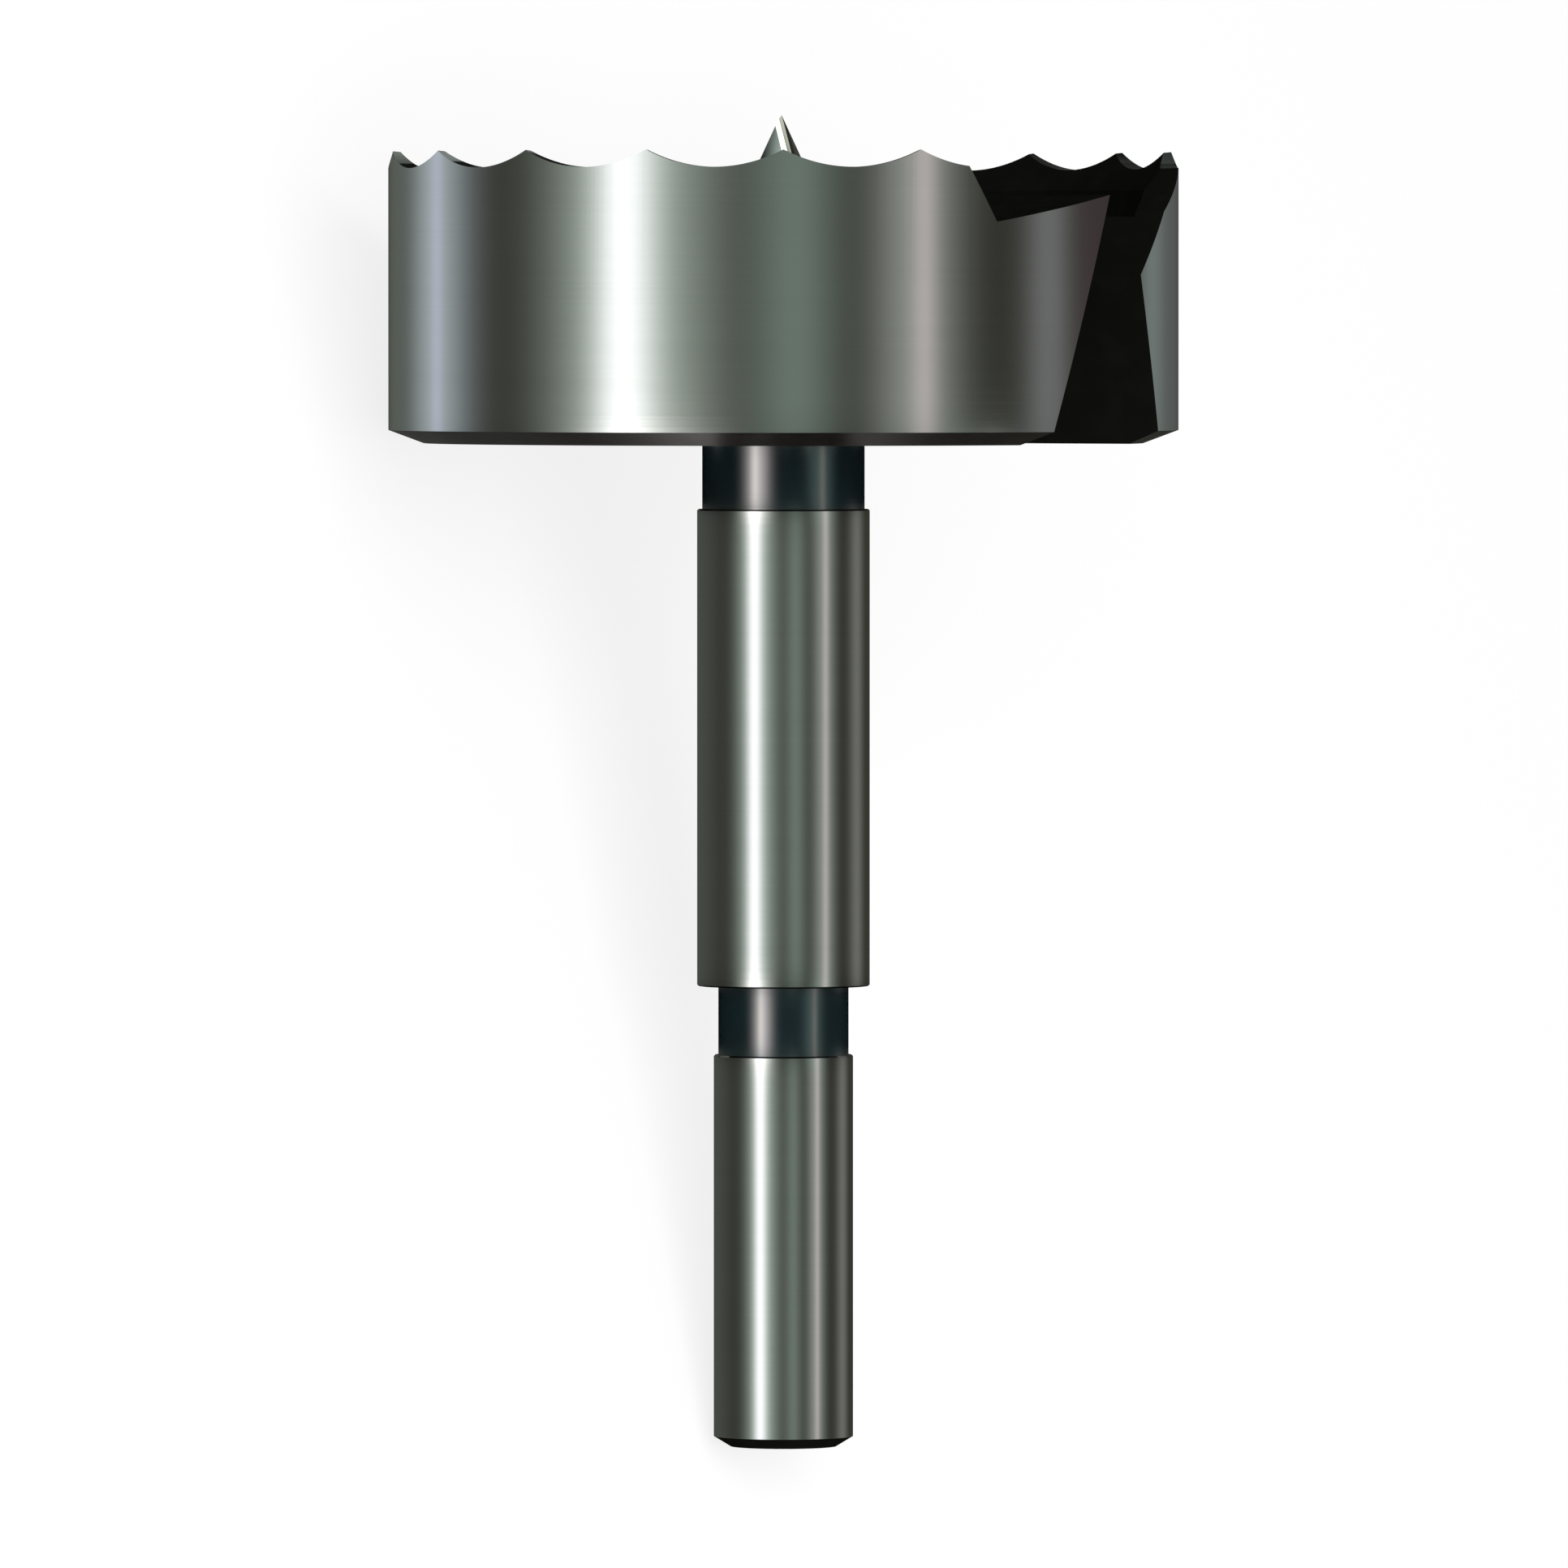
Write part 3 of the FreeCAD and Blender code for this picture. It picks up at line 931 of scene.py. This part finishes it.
    def round_inner_corners(self, tool: bpy.types.Object) -> None:
        """Rounds the throat tool's inner end where it meets rake, flare and ramp."""
        head = self.head
        bpy.ops.object.mode_set(mode="EDIT")
        bpy.ops.mesh.select_mode(type="EDGE")
        bpy.ops.mesh.select_all(action="DESELECT")
        bpy.ops.object.mode_set(mode="OBJECT")
        for line in tool.data.edges:
            ends = [tool.data.vertices[index].co for index in line.vertices]
            webs = [head.web_top + (head.edge - end.z) * head.web_slope for end in ends]
            on_web = all(abs(end.x - web) < TOUCH for end, web in zip(ends, webs))
            low, high = sorted(end.z for end in ends)
            line.select = on_web and high - low > head.throat_radius and low < head.nose + TOUCH
        bpy.ops.object.mode_set(mode="EDIT")
        bpy.ops.mesh.bevel(
            offset=head.throat_radius, offset_type="OFFSET",
            segments=self.corner_segments, affect="EDGES",
        )
        bpy.ops.object.mode_set(mode="OBJECT")

    def add_centre_point(self, bit: bpy.types.Object) -> None:
        """Adds the four-sided point, with ground flats on two of its ridges."""
        head, point = self.head, self.point
        apex = Vector((0, 0, head.edge + point.height + point.lost_tip))
        whole = point.height + point.lost_tip + point.root
        deselect_all()
        bpy.ops.mesh.primitive_cone_add(
            vertices=4, radius1=point.slope * whole, radius2=0, depth=whole,
            location=(0, 0, apex.z - whole / 2),
        )
        tool = just_added("centre_point")
        apply_place(tool)
        tip = apex - Vector((point.slope * point.lost_tip, 0, point.lost_tip))
        near = apex + Vector((*point.near_edge, 0))
        side_turn = math.pi / 4
        cuts = [(turn, near) for turn in point.near_turns] + [(side_turn, tip)]
        for turn, place in cuts:
            rise = point.slope * math.cos(turn)
            trim(tool, place, Vector((math.cos(turn), math.sin(turn), rise)))
        trim(tool, tip, Vector((-point.height, 0, point.reach - point.flat)))
        paint(tool, self.finishes[FinishName.HONED])
        combine(bit, turned_copy(tool, point.turn), "UNION")
        bpy.data.objects.remove(tool, do_unlink=True)


# Studio


class Beside(Enum):
    """The part of the bit that a strip light hangs beside."""

    STEM = "stem"
    NECK = "neck"
    HEAD = "head"
    SHADE = "shade"
    POINT = "point"
    BASE = "base"


@dataclass(frozen=True)
class StripLight:
    """A soft strip light parallel to the bit, which only shows in the metal.

    Angles are in degrees round the bit's axis, from the camera towards the right of the picture.
    """

    beside: Beside
    angle: float
    width: float
    colour: Colour


@dataclass(frozen=True)
class LightTent:
    """A tent round the bit that hangs the strip lights, and that only shows in the metal."""

    frame: Matrix
    radius: float = 100 * MM
    low: float = -120 * MM
    high: float = 300 * MM
    seam: float = 0.4 * MM
    segments: int = 96
    dim: Colour = (0.062, 0.061, 0.050)
    dark: Colour = (0.002, 0.002, 0.002)
    strips: tuple[StripLight, ...] = (
        StripLight(Beside.HEAD, -138, 16, (0.08, 0.10, 0.09)),
        StripLight(Beside.HEAD, -108, 15, (0.58, 0.65, 0.71)),
        StripLight(Beside.HEAD, -108, 3.5, (0.19, 0.17, 0.30)),
        StripLight(Beside.HEAD, -41, 8, (1.45, 1.35, 1.50)),
        StripLight(Beside.HEAD, -40, 20, (0.72, 0.83, 0.76)),
        StripLight(Beside.HEAD, 3, 10.5, (0.22, 0.29, 0.26)),
        StripLight(Beside.HEAD, 34, 11, (0.45, 0.47, 0.45)),
        StripLight(Beside.HEAD, 36, 3.5, (0.40, 0.30, 0.33)),
        StripLight(Beside.HEAD, 73, 8, (0.23, 0.23, 0.25)),
        StripLight(Beside.HEAD, 90, 8, (0.035, 0.010, 0.025)),
        StripLight(Beside.HEAD, 121, 10.5, (0.20, 0.24, 0.24)),
        StripLight(Beside.HEAD, 138, 16, (0.08, 0.09, 0.10)),
        StripLight(Beside.STEM, -130, 38, (0.05, 0.06, 0.06)),
        StripLight(Beside.STEM, -38, 10, (1.50, 1.35, 1.55)),
        StripLight(Beside.STEM, -36, 24, (0.68, 0.81, 0.73)),
        StripLight(Beside.STEM, 16, 13, (0.23, 0.29, 0.26)),
        StripLight(Beside.STEM, 55, 15, (0.45, 0.48, 0.45)),
        StripLight(Beside.STEM, 57, 4.5, (0.37, 0.28, 0.32)),
        StripLight(Beside.STEM, 113, 16, (0.23, 0.23, 0.23)),
        StripLight(Beside.STEM, 180, 16, (-0.025, -0.025, -0.020)),
        StripLight(Beside.NECK, -40, 6, (1.7, 1.7, 1.5)),
        StripLight(Beside.NECK, -37, 15.5, (4.1, 3.8, 3.8)),
        StripLight(Beside.NECK, 53, 16.5, (0.44, 0.62, 0.59)),
        StripLight(Beside.NECK, 56, 5, (0.55, 0.41, 0.34)),
        StripLight(Beside.SHADE, 155, 30, (0.035, 0.035, 0.032)),
        StripLight(Beside.POINT, -27, 20, (0.66, 0.77, 0.74)),
        StripLight(Beside.POINT, 0, 14, (3.5, 3.5, 3.5)),
        StripLight(Beside.POINT, 84, 15, (1.05, 1.06, 0.92)),
        StripLight(Beside.POINT, 180, 13, (0.35, 0.39, 0.37)),
        StripLight(Beside.BASE, -178, 9, (1.05, 1.02, 1.00)),
    )

    def glow(self, desk: NodeDesk, turn: Wire, beside: Beside) -> Wire:
        """The tent's brightness beside one part of the bit.

        Args:
            desk: The material's nodes.
            turn: Angle round the axis, in degrees.
            beside: The part of the bit.

        Returns:
            A colour, which may be brighter than white.
        """
        glow: object = self.dim if beside in (Beside.HEAD, Beside.STEM) else self.dark
        for strip in self.strips:
            if strip.beside is not beside:
                continue
            settings = {"operation": "WRAP"}
            away = desk.add("ShaderNodeMath", settings, {0: turn - strip.angle, 1: 180, 2: -180})
            share = away / strip.width
            fall = desk.add("ShaderNodeMath", {"operation": "EXPONENT"}, {0: share * share * -1})
            glow = desk.sum_of(glow, desk.scaled(strip.colour, fall))
        return glow

    def seams(self) -> tuple[tuple[float, Beside], ...]:
        """Heights from which the strips of each part hang, up the tent."""
        return (
            (-9.0 * MM, Beside.STEM),
            (23.4 * MM, Beside.NECK),
            (28.0 * MM, Beside.STEM),
            (63.2 * MM, Beside.NECK),
            (68.0 * MM, Beside.HEAD),
            (104.0 * MM, Beside.SHADE),
            (142.0 * MM, Beside.POINT),
        )

    def material(self) -> bpy.types.Material:
        """The tent's cloth, which glows where a strip light hangs behind it."""
        material, desk = new_material("light_tent")
        x, y, z = desk.split(desk.place_in(self.frame))
        turn = desk.add("ShaderNodeMath", {"operation": "ARCTAN2"}, {0: y, 1: x})
        turn = turn * math.degrees(1)
        glows = {beside: self.glow(desk, turn, beside) for beside in Beside}
        cloth = glows[Beside.BASE]
        for height, beside in self.seams():
            share = z.smooth(height - self.seam, height + self.seam)
            cloth = desk.mix_colour(share, cloth, glows[beside])
        shader = desk.add("ShaderNodeEmission", {}, {"Color": cloth, "Strength": 1.0})
        desk.add("ShaderNodeOutputMaterial", {}, {"Surface": shader})
        material.cycles.emission_sampling = "NONE"
        return material

    def build(self) -> bpy.types.Object:
        """Makes the tent, closed at both ends."""
        deselect_all()
        bpy.ops.mesh.primitive_cylinder_add(
            vertices=self.segments, radius=self.radius, depth=self.high - self.low,
            location=(0, 0, (self.high + self.low) / 2), end_fill_type="NGON",
        )
        tent = just_added("light_tent")
        apply_place(tent)
        tent.matrix_world = self.frame
        apply_place(tent)
        paint(tent, self.material())
        only_in_metal(tent)
        tent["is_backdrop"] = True
        return tent


def only_in_metal(thing: bpy.types.Object) -> None:
    """Lets a thing show in reflections and nowhere else."""
    thing.visible_camera = False
    thing.visible_diffuse = False
    thing.visible_transmission = False
    thing.visible_volume_scatter = False
    thing.visible_shadow = False


@dataclass(frozen=True)
class Studio:
    """Camera, floor, lamps and the light tent."""

    lie: Lie
    view_angle: float = math.radians(56.5)
    camera_distance: float = 1.4
    level_height: float = 80 * MM
    aim_height: float = 45.3 * MM
    aim_right: float = 0.04 * MM
    frame_width: float = 107.17 * MM
    sensor_width: float = 36.0
    clip: tuple[float, float] = (0.1, 60.0)
    floor_size: float = 40.0
    floor_colour: tuple[float, float, float, float] = (0.8, 0.8, 0.8, 1)
    floor_glow: float = 0.82
    surround_light: float = 0.4
    lamp_size: float = 0.9
    lamp_power: float = 24.0
    lamp_distance: float = 1.3
    lamp_lift: float = 0.55

    @property
    def towards_camera(self) -> Vector:
        """Direction from the bit's axis to the camera, square to the axis."""
        side = Vector((0.0, 1.0, 0.0))
        return self.lie.upward * math.cos(self.view_angle) + side * math.sin(self.view_angle)

    @property
    def right(self) -> Vector:
        """Direction that points right in the picture."""
        return self.lie.along.cross(self.towards_camera)

    @property
    def frame(self) -> Matrix:
        """The bit's axis as z, with x towards the camera and y to the right of the picture."""
        columns = Matrix((self.towards_camera, self.right, self.lie.along)).transposed()
        return Matrix.Translation(self.lie.foot) @ columns.to_4x4()

    def build(self) -> None:
        """Sets up the whole studio."""
        self.place_camera()
        self.lay_floor()
        self.set_world()
        self.hang_lamp()
        LightTent(self.frame).build()

    def place_camera(self) -> None:
        """Sets the camera level with the head, with the bit upright in the picture."""
        place = self.lie.on_axis(self.level_height) + self.towards_camera * self.camera_distance
        aim = self.lie.on_axis(self.aim_height) + self.right * self.aim_right
        ahead = (aim - place).normalized()
        up = (self.lie.along - ahead * self.lie.along.dot(ahead)).normalized()
        across = ahead.cross(up)
        data = bpy.data.cameras.new("camera")
        data.sensor_width = self.sensor_width
        data.lens = self.sensor_width * (aim - place).length / self.frame_width
        data.clip_start, data.clip_end = self.clip
        camera = bpy.data.objects.new("camera", data)
        bpy.context.scene.collection.objects.link(camera)
        columns = Matrix((across, up, -ahead)).transposed()
        camera.matrix_world = Matrix.Translation(place) @ columns.to_4x4()
        bpy.context.scene.camera = camera

    def lay_floor(self) -> None:
        """Lays a plain white floor that keeps a soft shadow."""
        deselect_all()
        bpy.ops.mesh.primitive_plane_add(size=self.floor_size, location=(0, 0, 0))
        floor = just_added("floor")
        material, desk = new_material("white_floor")
        matt = desk.add("ShaderNodeBsdfDiffuse", {}, {"Color": self.floor_colour})
        white = desk.add("ShaderNodeEmission", {}, {"Color": WHITE, "Strength": 1.0})
        share = desk.sight_rays() * self.floor_glow
        blend = desk.add("ShaderNodeMixShader", {}, {0: share, 1: matt, 2: white})
        desk.add("ShaderNodeOutputMaterial", {}, {"Surface": blend})
        paint(floor, material)
        floor.visible_glossy = False
        floor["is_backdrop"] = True

    def set_world(self) -> None:
        """Sets a white surround for the camera, and a dim one for everything else."""
        world = bpy.data.worlds.new("white_surround")
        bpy.context.scene.world = world
        world.use_nodes = True
        desk = NodeDesk(world.node_tree)
        strength = desk.sight_rays() * (1 - self.surround_light) + self.surround_light
        shader = desk.add("ShaderNodeBackground", {}, {"Color": WHITE, "Strength": strength})
        desk.add("ShaderNodeOutputWorld", {}, {"Surface": shader})

    def hang_lamp(self) -> None:
        """Hangs one large soft lamp above the camera, for the matt surfaces and the floor."""
        data = bpy.data.lights.new("main_lamp", "AREA")
        data.size = self.lamp_size
        data.energy = self.lamp_power
        lamp = bpy.data.objects.new("main_lamp", data)
        bpy.context.scene.collection.objects.link(lamp)
        middle = self.lie.on_axis(self.aim_height)
        side = (self.towards_camera + Vector((0.0, 0.0, self.lamp_lift))).normalized()
        place = middle + side * self.lamp_distance
        turn = (middle - place).to_track_quat("-Z", "Y")
        lamp.matrix_world = Matrix.Translation(place) @ turn.to_matrix().to_4x4()
        lamp.visible_glossy = False
        lamp.visible_camera = False


def set_colour_management() -> None:
    """Plain colour handling."""
    bpy.context.scene.view_settings.view_transform = "Standard"


def main() -> None:
    """Builds the bit and the studio in order."""
    logging.basicConfig(level=logging.INFO)
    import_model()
    cad_box = tuple(corner.copy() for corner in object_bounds())
    set_colour_management()
    lie = Lie.from_sizes(ShankSizes(), HeadSizes(), Vector(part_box("forstner_bit")[0]))
    LOG.info("lean %.3f roll %.3f", math.degrees(lie.lean), math.degrees(lie.roll))
    finishes = Finishes.make(lie)
    bit = Bit(ShankSizes(), HeadSizes(), PointSizes(), lie, finishes).build()
    LOG.info("bit: %d faces", len(bit.data.polygons))
    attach(bit, "root")
    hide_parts("forstner_bit")
    Studio(lie).build()


if __name__ == "__main__":
    main()
